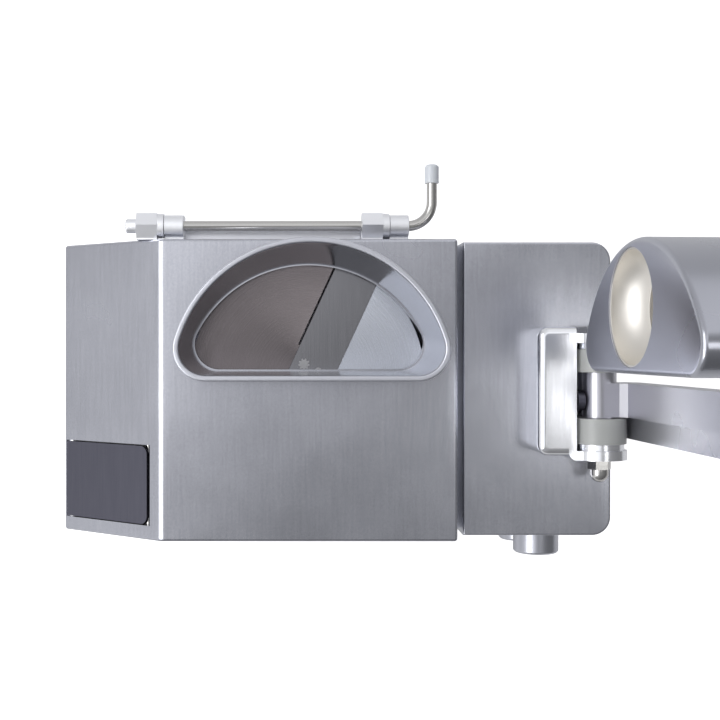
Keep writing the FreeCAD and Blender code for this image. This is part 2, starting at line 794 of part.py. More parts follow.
def motorGroup():
    centre = ("spindle_x + " + MOTOR_X, "spindle_y + motor_y")
    plate_top = "motor_plate_low + motor_plate_thick"
    plate = newBody("motor_plate")
    left = "lid_half + tower_gap + tower_wall"
    right = "lid_half + tower_gap + tower_wide - tower_wall"
    sheet_outline = newSketch(plate, "XY", "motor_plate_low")
    rectangle(sheet_outline, left, "-lid_front + tower_wall + switch_deep + switch_gap", right,
              "lid_rear - tower_wall - tower_corner")
    circle(sheet_outline, MOTOR_X, "motor_y", "motor_shaft_radius * 2")
    pad(plate, sheet_outline, "motor_plate_thick")
    posts = newBody("motor_posts")
    rounds = newSketch(posts, "XY", "foot_high + plate_thick")
    for x in (left + " + motor_post_inset", right + " - motor_post_inset"):
        for y in ("-lid_front + tower_wall + switch_deep + switch_gap + motor_post_radius",
                  "lid_rear - tower_wall - tower_corner - motor_post_radius"):
            circle(rounds, x, y, "motor_post_radius")
    pad(posts, rounds, "motor_plate_low - foot_high - plate_thick")
    motor = newBody("motor", *centre)
    bore = "motor_shaft_radius + shaft_gap"
    turned(motor, "XZ", "V", (bore, plate_top), ("motor_radius", plate_top),
           ("motor_radius", plate_top + " + motor_long"),
           ("motor_radius / 2", plate_top + " + motor_long + 10"),
           (0, plate_top + " + motor_long + 10"), (0, plate_top + " + motor_long / 2"),
           (bore, plate_top + " + motor_long / 2"))
    shaft = newBody("motor_shaft", *centre)
    rod = circle(newSketch(shaft, "XY", "pulley_low"), 0, 0, "motor_shaft_radius")
    pad(shaft, rod, plate_top + " + motor_long / 2 - 1 - pulley_low")
    pulley = newBody("motor_pulley", *centre)
    pulleyProfile(pulley, "motor_pulley_radius", "motor_shaft_radius")
    belt = newBody("drive_belt")
    loop = newSketch(belt, "XY", "pulley_low + pulley_lip + belt_gap")
    beltLoop(loop, MOTOR_X, "motor_y", "spindle_pulley_radius + belt_gap", "motor_pulley_radius + belt_gap")
    beltLoop(loop, MOTOR_X, "motor_y", "spindle_pulley_radius + belt_gap + belt_thick",
             "motor_pulley_radius + belt_gap + belt_thick")
    pad(belt, loop, "pulley_wide - 2 * pulley_lip - 2 * belt_gap")


def throatOutline(body, level, extra):
    """The throat's half-moon at a height, wider all round by the extra."""
    return halfMoon(newSketch(body, "XY", level), "throat_shift_x", "throat_shift_y",
                    "throat_radius + " + extra, "throat_flat - (%s)" % extra, "throat_corner + " + extra)


def rimOutline(body, extra):
    """The rim's half-moon where its upright band begins, wider all round by the extra."""
    return halfMoon(newSketch(body, "XY", "lid_top + hopper_rise - rim_band"), "rim_shift_x", "rim_shift_y",
                    "rim_radius + " + extra, "rim_flat - " + extra, "rim_corner + " + extra)


def hopperSections(body, extra):
    """The flared part's outline at its lower end and at its rim, wider all round by the extra."""
    low = throatOutline(body, "lid_top - hopper_low + throat_high", extra + " + throat_ledge")
    return low, rimOutline(body, extra)


def lidShell():
    body = newBody("lid_shell")
    low = "lid_top - lid_deep"
    outline = newSketch(body, "XZ", "-lid_rear")
    polygon(outline, ("-lid_reach", low), ("lid_half", low), ("lid_half", "lid_top"),
            ("-lid_half", "lid_top"), ("-lid_reach", "lid_top - slope_drop"))
    pad(body, outline, "lid_front + lid_rear")
    fillet(body, "lid_bend", lambda edge: runs(edge, ALONG_Y) and near(edge.CenterOfMass.x, "-lid_half"))

    def outerEdge(edge):
        middle = edge.CenterOfMass
        if near(edge.BoundBox.ZMax, low):
            return False
        if runs(edge, ALONG_Y):
            return near(middle.x, "lid_half") or near(middle.x, "-lid_reach")
        return near(middle.y, "-lid_front") or near(middle.y, "lid_rear")
    fillet(body, "lid_edge", outerEdge)
    inner = newSketch(body, "XZ", "lid_wall - lid_rear")
    thick = "lid_wall * " + SLANT
    polygon(inner, ("-lid_reach + lid_wall", low), ("lid_half - lid_wall", low),
            ("lid_half - lid_wall", "lid_top - lid_wall"),
            ("-lid_half + (%s - lid_wall) / %s" % (thick, SLOPE), "lid_top - lid_wall"),
            ("-lid_reach + lid_wall", "lid_top - slope_drop + lid_wall * %s - %s" % (SLOPE, thick)))
    pocket(body, inner, "lid_front + lid_rear - 2 * lid_wall")
    step = newSketch(body, "XZ", "-lid_rear")
    rectangle(step, "-base_left + base_corner - lid_seat_gap", low, "lid_half", low + " + rear_step")
    pocket(body, step, "lid_wall + lid_seat_gap")
    loft(body, *hopperSections(body, "hopper_wall"), cut=True)
    opening = slopeSketch(body, "-lid_wall * 2")
    rectangle(opening, "flap_low - flap_gap", "-flap_front - flap_gap",
              FLAP_END + " + flap_hinge_gap", "flap_wide - flap_front + flap_gap")
    pocket(body, opening, "lid_wall * 3")


def slopeSketch(body, start):
    """A sketch on the lid's slope: X runs up the slope from its lower left edge."""
    sketch = newSketch(body, "XY")
    turn = FreeCAD.Rotation(FreeCAD.Vector(0, -1, 0), math.degrees(math.atan(number(SLOPE))))
    sketch.AttachmentOffset = FreeCAD.Placement(FreeCAD.Vector(), turn)
    rise = "(%s)" % start
    sketch.setExpression("AttachmentOffset.Base.x", sized("-lid_reach - %s * %s / %s" % (rise, SLOPE, SLANT)))
    sketch.setExpression("AttachmentOffset.Base.z", sized("lid_top - slope_drop + %s / %s" % (rise, SLANT)))
    sketch.setExpression("AttachmentOffset.Rotation.Angle", sized("atan(%s)" % SLOPE))
    return sketch


def slopeBody(label):
    """A body whose X runs up the lid's slope and whose Z stands off it."""
    body = newBody(label, "spindle_x - lid_reach", "spindle_y", "lid_top - slope_drop")
    tilt = math.degrees(math.atan(number(SLOPE)))
    body.Placement.Rotation = FreeCAD.Rotation(FreeCAD.Vector(0, -1, 0), tilt)
    body.setExpression("Placement.Rotation.Angle", sized("atan(%s)" % SLOPE))
    return body


def hopper():
    """The flared half-moon hopper, which ends below in a short straight throat."""
    body = newBody("hopper")
    loft(body, *hopperSections(body, "hopper_wall"))
    pad(body, rimOutline(body, "hopper_wall"), "rim_band")
    throat = throatOutline(body, "lid_top - hopper_low", "hopper_wall")
    pad(body, throat, "throat_high")
    loft(body, *hopperSections(body, "0"), cut=True)
    pocket(body, rimOutline(body, "0"), "rim_band")
    inner = throatOutline(body, "lid_top - hopper_low", "0")
    pocket(body, inner, "throat_high")
    fillet(body, "rim_round", lambda edge: near(edge.BoundBox.ZMin, "lid_top + hopper_rise"))


def feedCover():
    """The round plate inside the lid, close over the disc, round the hopper's throat."""
    body = newBody("feed_cover")
    outside = circle(newSketch(body, "XY", "lid_top - hopper_low"), 0, 0, "cover_radius")
    pad(body, outside, "cover_thick")
    pocket(body, throatOutline(body, "lid_top - hopper_low", "hopper_wall"), "cover_thick")


def latch():
    """The flap on the slope, its tray behind the lid's wall and its pin."""
    right = FLAP_END
    near_side = "-flap_front"
    far_side = "flap_wide - flap_front"
    pin_x = right + " - latch_pin_radius - lug_wall"
    pin_z = "-lid_wall - latch_pin_radius - side_gap"
    under = "flap_proud - flap_thick"
    flap = slopeBody("latch_flap")
    plate = rectangle(newSketch(flap, "XY", under), "flap_low", near_side, right, far_side)
    pad(flap, plate, "flap_thick")
    fillet(flap, "flap_corner", lambda edge: runs(edge, ALONG_Z) and near(edge.CenterOfMass.x, right, 2))
    lug_radius = "latch_pin_radius + lug_wall"
    lugs = newSketch(flap, "XZ", "-(%s) + lug_inset" % far_side)
    circle(lugs, pin_x, pin_z, lug_radius)
    pad(flap, lugs, "flap_wide - 2 * lug_inset")
    web = newSketch(flap, "XZ", "-(%s) + lug_inset" % far_side)
    rectangle(web, "%s - (%s)" % (pin_x, lug_radius), pin_z, "%s + %s" % (pin_x, lug_radius), under)
    pad(flap, web, "flap_wide - 2 * lug_inset")
    bore = newSketch(flap, "XZ", "-(%s)" % far_side)
    circle(bore, pin_x, pin_z, "latch_pin_radius + rod_gap")
    pocket(flap, bore, "flap_wide")
    tray = slopeBody("latch_tray")
    block = newSketch(tray, "XY", "-lid_wall - tray_deep")
    rectangle(block, "flap_low + lid_wall", near_side + " - flap_gap - tray_wall",
              right + " + flap_hinge_gap + tray_wall", far_side + " + flap_gap + tray_wall")
    pad(tray, block, "tray_deep")
    hollow = newSketch(tray, "XY", "-lid_wall - tray_deep + tray_wall")
    rectangle(hollow, "flap_low + lid_wall + tray_wall", near_side + " - flap_gap",
              right + " + flap_hinge_gap", far_side + " + flap_gap")
    pocket(tray, hollow, "tray_deep")
    pin_body = slopeBody("latch_pin")
    rod = newSketch(pin_body, "XZ", "-(%s + flap_gap + tray_wall)" % far_side)
    circle(rod, pin_x, pin_z, "latch_pin_radius")
    pad(pin_body, rod, "flap_wide + 2 * flap_gap + 2 * tray_wall")
    ends = newSketch(tray, "XZ", "-(%s + flap_gap + tray_wall)" % far_side)
    circle(ends, pin_x, pin_z, "latch_pin_radius")
    pocket(tray, ends, "flap_wide + 2 * flap_gap + 2 * tray_wall")


def knuckle(label, left):
    """A hexagonal knuckle of the lid, with the round shoulder that runs against the block."""
    body = hingeBody(label, left)
    point = "knuckle_flats / sqrt(3)"
    half = "knuckle_flats / 2"
    hexagon = newSketch(body, "YZ", 0)
    polygon(hexagon, (0, point), ("-" + half, point + " / 2"), ("-" + half, "-%s / 2" % point),
            (0, "-" + point), (half, "-%s / 2" % point), (half, point + " / 2"))
    pad(body, hexagon, "knuckle_long")
    foot = newSketch(body, "YZ", 0)
    rectangle(foot, "-" + BEHIND, "-%s / 2" % point, 0, point + " / 2")
    pad(body, foot, "knuckle_long")
    shoulder = circle(newSketch(body, "YZ", "knuckle_long"), 0, 0, "spacer_radius")
    pad(body, shoulder, "spacer_long")
    if label == "knuckle_left":
        stub = circle(newSketch(body, "YZ", "-stub_long"), 0, 0, "stub_radius")
        pad(body, stub, "stub_long")
        fillet(body, "stub_radius / 3", lambda edge: near(edge.BoundBox.XMax, "-stub_long"))
        bore = circle(newSketch(body, "YZ", "-stub_long * 2 / 3"), 0, 0, "rod_radius + rod_gap")
    else:
        bore = circle(newSketch(body, "YZ", 0), 0, 0, "rod_radius + rod_gap")
    pocket(body, bore, "knuckle_long + spacer_long + stub_long")


def hingeBlock(label, knuckle_x):
    """A block on the rail, rounded at the top so that the lid's back clears it."""
    left = knuckle_x + " + knuckle_long + spacer_long + side_gap"
    body = hingeBody(label, left)
    outline = newSketch(body, "YZ", 0)
    rectangle(outline, "-%s + side_gap" % BEHIND, "-rail_below", "block_round", 0)
    pad(body, outline, "block_long")
    top = circle(newSketch(body, "YZ", 0), 0, 0, "block_round")
    pad(body, top, "block_long")
    bore = circle(newSketch(body, "YZ", 0), 0, 0, "rod_radius + rod_gap")
    pocket(body, bore, "block_long")


def hingeRail():
    body = hingeBody("hinge_rail", RAIL_LEFT)
    seat = "-(lid_deep + lid_seat_gap - hinge_below)"
    front = "-" + BEHIND
    outline = newSketch(body, "YZ", 0)
    polygon(outline, (front, "-rail_drop"), (front, seat), (front + " + side_gap", seat),
            (front + " + side_gap", "-rail_below"), (front + " + side_gap + rail_deep", "-rail_below"),
            (front + " + side_gap + rail_deep", "-rail_below - rail_thick"),
            (front + " + rail_plate", "-rail_below - rail_thick"), (front + " + rail_plate", "-rail_drop"))
    pad(body, outline, "knuckle_right_x - knuckle_left_x + block_long")
    holes = newSketch(body, "XZ", BEHIND + " - rail_plate")
    for x, z in railScrewPlaces():
        circle(holes, x, z, "rail_screw_radius")
    pocket(body, holes, "rail_plate")


def hingeRod():
    """The bent rod that is drawn out to the right to free the lid, and its cap."""
    left = "knuckle_left_x - stub_long * 2 / 3 + side_gap"
    rod = hingeBody("hinge_rod")
    path = newSketch(rod, "XY")
    straight = "rod_right - rod_bend"
    corners = ((left, 0), (straight, 0), ("rod_right", "rod_bend"), ("rod_right", "rod_reach"))
    places = [FreeCAD.Vector(number(x), number(y), 0) for x, y in corners]
    path.addGeometry(Part.LineSegment(places[0], places[1]), False)
    path.addGeometry(arcBetween(places[1], places[2], number("rod_bend")), False)
    path.addGeometry(Part.LineSegment(places[2], places[3]), False)
    for index in range(2):
        path.addConstraint(Sketcher.Constraint("Coincident", index, 2, index + 1, 1))
    for index, (x, y) in enumerate(corners[:3]):
        pin(path, index, 1, x, y)
    pin(path, 2, 2, *corners[3])
    setRadius(path, 1, "rod_bend")
    section = circle(newSketch(rod, "YZ", left), 0, 0, "rod_radius")
    pipe = rod.newObject("PartDesign::AdditivePipe", "Pipe")
    pipe.Profile = section
    pipe.Spine = path
    cap = hingeBody("rod_cap", "rod_right")
    top = "rod_reach + cap_end"
    turned(cap, "XY", "V", ("rod_radius", top + " - cap_long"), ("cap_radius", top + " - cap_long"),
           ("cap_radius", top + " - cap_round"), ("cap_radius - cap_round", top), (0, top),
           (0, "rod_reach"), ("rod_radius", "rod_reach"))


def leverBracket():
    """The polished casting on the tower: a block, and a fork that is open to the right."""
    body = newBody("lever_bracket")
    low = "lid_top - tower_drop"
    block = newSketch(body, "XY", low)
    rectangle(block, "bracket_left", "-bracket_pad_front",
              "bracket_wall_x + bracket_wall", "bracket_pad_rear")
    pad(body, block, "bracket_high")
    fillet(body, "bracket_high / 5",
           lambda edge: runs(edge, ALONG_Z) and near(edge.CenterOfMass.x, "bracket_left"))
    fillet(body, "bracket_high / 7", lambda edge: near(edge.BoundBox.ZMin, low + " + bracket_high") and
           not near(edge.CenterOfMass.x, "bracket_wall_x + bracket_wall"))
    wall = newSketch(body, "XY", low)
    rectangle(wall, "bracket_wall_x", "-ear_front", "bracket_wall_x + bracket_wall", "ear_rear")
    pad(body, wall, "bracket_high")
    for start in ("-ear_rear", "ear_front - ear_thick"):
        ear = newSketch(body, "XZ", start)
        rectangle(ear, "bracket_wall_x", low, "lever_x", low + " + bracket_high")
        pad(body, ear, "ear_thick")
        end = circle(newSketch(body, "XZ", start), "lever_x", "lid_top - lever_below", "ear_radius")
        pad(body, end, "ear_thick")
    fillet(body, "fork_round", lambda edge: runs(edge, ALONG_Z) and
           near(edge.CenterOfMass.x, "bracket_wall_x") and near(edge.CenterOfMass.y, "-ear_front"))
    bore = circle(newSketch(body, "XZ", "-ear_rear"), "lever_x", "lid_top - lever_below", "bolt_radius")
    pocket(body, bore, "ear_rear + ear_front")


def leverBodyRing(label, radius, bore, *spans):
    """Rings round the lever's bolt, each given by its distances in front of the spindle's axis."""
    body = newBody(label, "spindle_x + lever_x", "spindle_y", "lid_top - lever_below")
    for start, long in spans:
        ring = newSketch(body, "XZ", start)
        circle(ring, 0, 0, radius)
        circle(ring, 0, 0, bore)
        pad(body, ring, long)
    return body


def leverPivot():
    front = "ear_front - ear_thick - collar_thick"
    rear = "ear_rear - ear_thick - collar_thick"
    leverBodyRing("collars", "collar_radius", "bolt_radius", (front, "collar_thick"),
                  ("-(%s) - collar_thick" % rear, "collar_thick"))
    leverBodyRing("front_bushing", "bush_radius", "bolt_radius",
                  ("hub_front + side_gap", "%s - hub_front - side_gap" % front))
    leverBodyRing("rear_bushing", "bush_radius", "bolt_radius",
                  ("-(%s)" % rear, "%s - hub_rear - side_gap" % rear))
    bolt = newBody("lever_bolt", "spindle_x + lever_x", "spindle_y", "lid_top - lever_below")
    shank = circle(newSketch(bolt, "XZ", "-ear_rear"), 0, 0, "bolt_radius")
    pad(bolt, shank, "ear_rear + ear_front + bolt_radius * 2")
    head = newSketch(bolt, "XZ", "-ear_rear - bolt_radius * 1.25")
    hexagonXZ(head, "bolt_radius * 1.6")
    pad(bolt, head, "bolt_radius * 1.25")
    nut = newBody("acorn_nut", "spindle_x + lever_x", "spindle_y", "lid_top - lever_below")
    flats = newSketch(nut, "XZ", "ear_front")
    hexagonXZ(flats, "bolt_radius * 1.6")
    pad(nut, flats, "bolt_radius * 1.6")
    dome_start = "-ear_front - bolt_radius * 1.6"
    turned(nut, "XY", "V", (0, dome_start), ("bolt_radius * 1.45", dome_start),
           ("bolt_radius * 1.45", dome_start + " - bolt_radius * 0.8", "-bolt_radius * 1.45"),
           (0, dome_start + " - bolt_radius * 2.05"))
    bore = circle(newSketch(nut, "XZ", "ear_front"), 0, 0, "bolt_radius")
    pocket(nut, bore, "bolt_radius * 2")


def hexagonXZ(sketch, flat_radius):
    """A hexagon round the origin, by the distance of its flats."""
    point = "%s * 2 / sqrt(3)" % flat_radius
    return polygon(sketch, (point, 0), (point + " / 2", flat_radius), ("-%s / 2" % point, flat_radius),
                   ("-" + point, 0), ("-%s / 2" % point, "-" + flat_radius),
                   (point + " / 2", "-" + flat_radius))


def leverArm():
    body = leverBody("lever_arm")
    top = "arm_lift + arm_high"
    hub = circle(newSketch(body, "XZ", "-hub_rear"), 0, 0, "arm_hub_radius")
    pad(body, hub, "hub_rear + hub_front")
    beam = newSketch(body, "XZ", ARM_REAR)
    polygon(beam, ("arm_hub_radius + bolt_radius", 0), ("arm_hub_radius + bolt_radius", "arm_lift * 1.6"),
            ("arm_hub_radius - bolt_radius", top), ("-arm_end", top), ("-arm_end", "arm_lift"),
            ("-arm_hub_radius - bolt_radius", "arm_lift"), ("-arm_hub_radius", "arm_lift - bolt_radius"),
            ("-arm_hub_radius", 0))
    pad(body, beam, "arm_front - " + ARM_REAR)
    flange = newSketch(body, "XZ", "arm_front")
    polygon(flange, ("arm_hub_radius - bolt_radius", "flange_from"),
            ("arm_hub_radius - bolt_radius", "flange_to"),
            ("-arm_end", "flange_to"), ("-arm_end", "flange_from"))
    pad(body, flange, "flange_out")
    front = "-arm_front - flange_out"
    fillet(body, "arm_round", lambda edge: runs(edge, ALONG_Z) and near(edge.CenterOfMass.y, front))
    bridge = newSketch(body, "YZ", "-bridge_to")
    lowest = "-pusher_drop + pusher_high"
    leg = "throat_flat + pusher_gap + pusher_wall"
    rear = leg + " + bridge_leg"
    polygon(bridge, ("-arm_front", "arm_lift"), ("-" + ARM_REAR, "arm_lift"), ("-" + ARM_REAR, "bridge_lift"),
            (leg, "bridge_lift"), (leg, lowest), (rear, lowest),
            (rear, "bridge_lift + bridge_thick"), ("-arm_front", "bridge_lift + bridge_thick"))
    pad(body, bridge, "bridge_to - bridge_from")
    bore = circle(newSketch(body, "XZ", "-hub_rear"), 0, 0, "bolt_radius + shaft_gap")
    pocket(body, bore, "hub_rear + hub_front")
    grip = leverBody("handle_grip")
    centre = ("-(%s + arm_front) / 2" % ARM_REAR, "arm_lift + arm_high / 2")
    rod = circle(newSketch(grip, "YZ", "-arm_end - grip_long"), *centre, "grip_radius")
    pad(grip, rod, "grip_long")
    fillet(grip, "grip_radius / 2", lambda edge: near(edge.BoundBox.XMax, "-arm_end - grip_long"))
    clamp = leverBody("clamp_bolt")
    head = newSketch(clamp, "XY", "-arm_hub_radius - clamp_high")
    place = ("0", "-(hub_front + %s) / 2" % ARM_REAR)
    circle(head, *place, "bolt_radius * 1.6")
    pad(clamp, head, "clamp_high")


def pusherOutline(body, level, inset):
    """The throat's half-moon seen from the lever's axis, smaller all round by the inset."""
    return halfMoon(newSketch(body, "XY", level), "throat_shift_x - lever_x", "throat_shift_y",
                    "throat_radius - " + inset, "throat_flat + " + inset, "throat_corner - " + inset)


def pusher():
    """The half-moon casting that presses the food down, with its round feed tube."""
    body = leverBody("pusher")
    outside = pusherOutline(body, "-pusher_drop", "pusher_gap")
    pad(body, outside, "pusher_high")
    fillet(body, "pusher_edge", lambda edge: near(edge.BoundBox.ZMax, "-pusher_drop"))
    inside = pusherOutline(body, "-pusher_drop + pusher_wall * 2", "(pusher_gap + pusher_wall)")
    pocket(body, inside, "pusher_high")
    boss = newSketch(body, "XY", "-pusher_drop + pusher_wall")
    rectangle(boss, "-bridge_to", "throat_flat + pusher_gap + pusher_wall / 2", "-bridge_from",
              "throat_flat + pusher_gap + pusher_wall + bridge_leg")
    pad(body, boss, "pusher_high - pusher_wall")
    mouth = newSketch(body, "XY", "-pusher_drop")
    circle(mouth, "-mouth_axis", "mouth_y", "mouth_radius + tube_wall / 2")
    pocket(body, mouth, "pusher_high")
    liner = leverBody("feed_tube")
    section = newSketch(liner, "XZ", "-mouth_y")
    low = "-pusher_drop"
    shoulder = "mouth_radius - bowl_high"

    def across(radius):
        return "-mouth_axis + " + radius
    polygon(section, (across("mouth_radius"), low + " + tube_inset"),
            (across("mouth_radius + tube_wall / 2"), low + " + tube_inset"),
            (across("mouth_radius + tube_wall / 2"), low + " + pusher_wall"),
            (across("tube_radius + tube_wall"), low + " + bowl_high + tube_wall + tube_past"),
            (across("tube_radius + tube_wall"), low + " + pusher_high + tube_past"),
            (across("tube_radius"), low + " + pusher_high + tube_past"),
            (across("tube_radius"), low + " + bowl_high + tube_inset", "-bowl_high * 1.02"))
    foot = FreeCAD.Vector(-number("mouth_axis"), 0, 0)
    upright = FreeCAD.Vector(0, number("pusher_high"), 0)
    axis = section.addGeometry(Part.LineSegment(foot, foot + upright), True)
    pin(section, axis, 1, "-mouth_axis", 0)
    pin(section, axis, 2, "-mouth_axis", "pusher_high")
    spun = liner.newObject("PartDesign::Revolution", "Turned")
    spun.Profile = section
    spun.ReferenceAxis = (section, ["Axis0"])


def knob(label, level):
    """A round knob on a stem that runs through the tower's front into its switch."""
    body = newBody(label, "spindle_x + " + KNOB_X, "spindle_y", level)
    face = "-lid_front - knob_gap"
    turned(body, "XY", "V", (0, face), ("knob_radius", face),
           ("knob_radius", "-lid_front - knob_proud + knob_edge"),
           ("knob_radius - knob_edge", "-lid_front - knob_proud"), (0, "-lid_front - knob_proud"))
    stem = circle(newSketch(body, "XZ", "lid_front - tower_wall - switch_deep / 2"), 0, 0, "knob_stem")
    pad(body, stem, "tower_wall + switch_deep / 2 + knob_gap")


def switchBodies():
    body = newBody("switch_bodies", "spindle_x + " + KNOB_X, "spindle_y")
    face = "lid_front - tower_wall"
    for level in ("knob_lower", "knob_upper"):
        box = newSketch(body, "XZ", face + " - switch_deep")
        rectangle(box, "-switch_side / 2", level + " - switch_side / 2", "switch_side / 2",
                  level + " + switch_side / 2")
        pad(body, box, "switch_deep")
    for level in ("knob_lower", "knob_upper"):
        bore = newSketch(body, "XZ", face + " - switch_deep / 2 - switch_gap")
        circle(bore, 0, level, "knob_stem + side_gap")
        pocket(body, bore, "switch_deep")


def cableGland():
    body = newBody("cable_gland", "spindle_x + " + MOTOR_X, "spindle_y", "foot_high + gland_high")
    turned(body, "XY", "V", ("gland_radius / 2", "lid_rear - tower_wall - 6"),
           ("gland_radius - 3", "lid_rear - tower_wall - 6"), ("gland_radius - 3", "lid_rear"),
           ("gland_radius", "lid_rear"), ("gland_radius", "lid_rear + gland_long / 2"),
           ("gland_radius - 4", "lid_rear + gland_long"), ("gland_radius / 2", "lid_rear + gland_long"))


def export():
    doc.recompute()
    faults = []
    for item in doc.Objects:
        if "Invalid" in item.State or "Error" in item.State:
            faults.append("%s %s" % (item.Name, item.State))
    for body in subParts:
        if body.Shape.isNull() or not body.Shape.isValid() or body.Shape.Volume <= 0:
            faults.append("bad shape " + body.Label)
    if faults:
        raise RuntimeError("\n".join(faults))
    for body in subParts:
        body.Shape.exportStep("parts/%s.step" % body.Label)
    whole = FreeCAD.BoundBox()
    for body in subParts:
        whole.add(body.Shape.BoundBox)
    print("%d sub-parts, box %s" % (len(subParts), whole))


baseHousing()
outletChute()
driveHousing()
basePlate()
feet()
footScrews()
plateScrews()
spindleGroup()
cutterGroup()
motorGroup()
lidShell()
hopper()
feedCover()
latch()
knuckle("knuckle_left", "knuckle_left_x")
knuckle("knuckle_right", "knuckle_right_x")
hingeBlock("hinge_block_left", "knuckle_left_x")
hingeBlock("hinge_block_right", "knuckle_right_x")
hingeRail()
railScrews()
hingeRod()
leverBracket()
leverPivot()
leverArm()
pusher()
knob("upper_knob", "knob_upper")
knob("lower_knob", "knob_lower")
switchBodies()
cableGland()
export()
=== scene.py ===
import bpy
import bmesh
import json
import math
from mathutils import Matrix, Vector


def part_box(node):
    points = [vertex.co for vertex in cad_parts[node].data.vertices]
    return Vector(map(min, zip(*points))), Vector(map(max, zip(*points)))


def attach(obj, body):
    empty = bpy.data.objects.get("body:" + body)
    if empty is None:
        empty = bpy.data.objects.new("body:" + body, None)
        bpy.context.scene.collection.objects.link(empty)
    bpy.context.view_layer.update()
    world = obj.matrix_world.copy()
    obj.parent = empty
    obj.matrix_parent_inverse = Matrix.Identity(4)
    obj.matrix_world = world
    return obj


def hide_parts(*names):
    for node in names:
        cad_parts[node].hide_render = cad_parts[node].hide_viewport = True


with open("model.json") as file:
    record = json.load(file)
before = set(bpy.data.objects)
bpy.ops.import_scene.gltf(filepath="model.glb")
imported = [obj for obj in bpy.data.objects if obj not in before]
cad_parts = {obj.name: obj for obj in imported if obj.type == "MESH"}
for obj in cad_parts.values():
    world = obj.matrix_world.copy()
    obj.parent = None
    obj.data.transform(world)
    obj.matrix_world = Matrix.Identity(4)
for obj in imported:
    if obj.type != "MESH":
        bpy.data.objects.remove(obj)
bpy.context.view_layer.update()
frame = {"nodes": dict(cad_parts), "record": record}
nodes = frame["nodes"]
record = frame["record"]
print("frame loaded,", len(nodes), "nodes")

# Who carries each node
bodyOf = {node: body for body, members in record["behaviour"]["bodies"].items() for node in members}

# The spindle's axis is the middle of the hopper and disc, so most places are taken from it
discLow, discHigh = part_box("slicing_disc")
spindleX = (discLow[0] + discHigh[0]) / 2
spindleY = (discLow[1] + discHigh[1]) / 2
discTop = discHigh[2]
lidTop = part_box("lid_shell")[1][2]
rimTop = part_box("hopper")[1][2]

# The blade lies across the disc like this: its turn, its two long sides, the slot before it,
# and the thin line that stays open beside the blade
bladeTurn = math.radians(-24.8)
bladeLeft, bladeRight = -0.0147, 0.0254
slotWide = 0.007
sideGap = 0.0002

# Camera: straight above, over a point left of the hopper's middle and behind its flat side
cameraPlace = {
    "leftOfSpindle": 0.018, "behindSpindle": 0.030, "aboveLid": 1.100,
    "lens": 57.9, "shiftX": 0.0972, "shiftY": -0.0208, "sensor": 36, "near": 0.05,
}


def makeCamera(place):
    data = bpy.data.cameras.new("viewCamera")
    data.lens = place["lens"]
    data.sensor_width = place["sensor"]
    data.sensor_fit = "HORIZONTAL"
    data.shift_x = place["shiftX"]
    data.shift_y = place["shiftY"]
    data.clip_start = place["near"]
    camera = bpy.data.objects.new("viewCamera", data)
    bpy.context.scene.collection.objects.link(camera)
    camera.location = (spindleX - place["leftOfSpindle"], spindleY + place["behindSpindle"],
                       lidTop + place["aboveLid"])
    bpy.context.scene.camera = camera


# Every shader node, here and in the materials below, is made by its kind and its settings
def addNode(tree, kind, **values):
    made = tree.nodes.new("ShaderNode" + kind)
    for key, value in values.items():
        setattr(made, key, value)
    return made


# Lights: a room that is bright behind on the left and dim in front on the right, and two soft panels
lightPlan = {
    # how far a direction leans to the left and back, and how bright the room is there
    "room": [(-1.0, 0.16), (-0.6, 0.24), (-0.3, 0.34), (-0.15, 0.31), (-0.06, 0.32),
             (0.0, 0.54), (0.12, 1.16), (0.3, 0.90), (0.6, 0.76), (1.0, 0.62)],
    "leanX": -0.75, "leanY": 0.66,
    "tint": (0.97, 0.975, 1.0),
    "panels": {
        # name: place, size x, size y, watts, the point that it faces
        "leftPanel": ((-1.45, -0.1, 2.0), 2.8, 1.1, 27.0, (-0.2, -0.05, 0.40)),
        "rightOverhead": ((0.66, -0.06, 2.0), 0.36, 0.36, 1.0, (0.25, -0.04, 0.46)),
    },
}


def makePanel(name, place, wide, deep, watts, target):
    data = bpy.data.lights.new(name, "AREA")
    data.shape = "RECTANGLE"
    data.size = wide
    data.size_y = deep
    data.energy = watts
    lamp = bpy.data.objects.new(name, data)
    bpy.context.scene.collection.objects.link(lamp)
    lamp.location = place
    lamp.rotation_euler = (Vector(target) - Vector(place)).to_track_quat("-Z", "Y").to_euler()


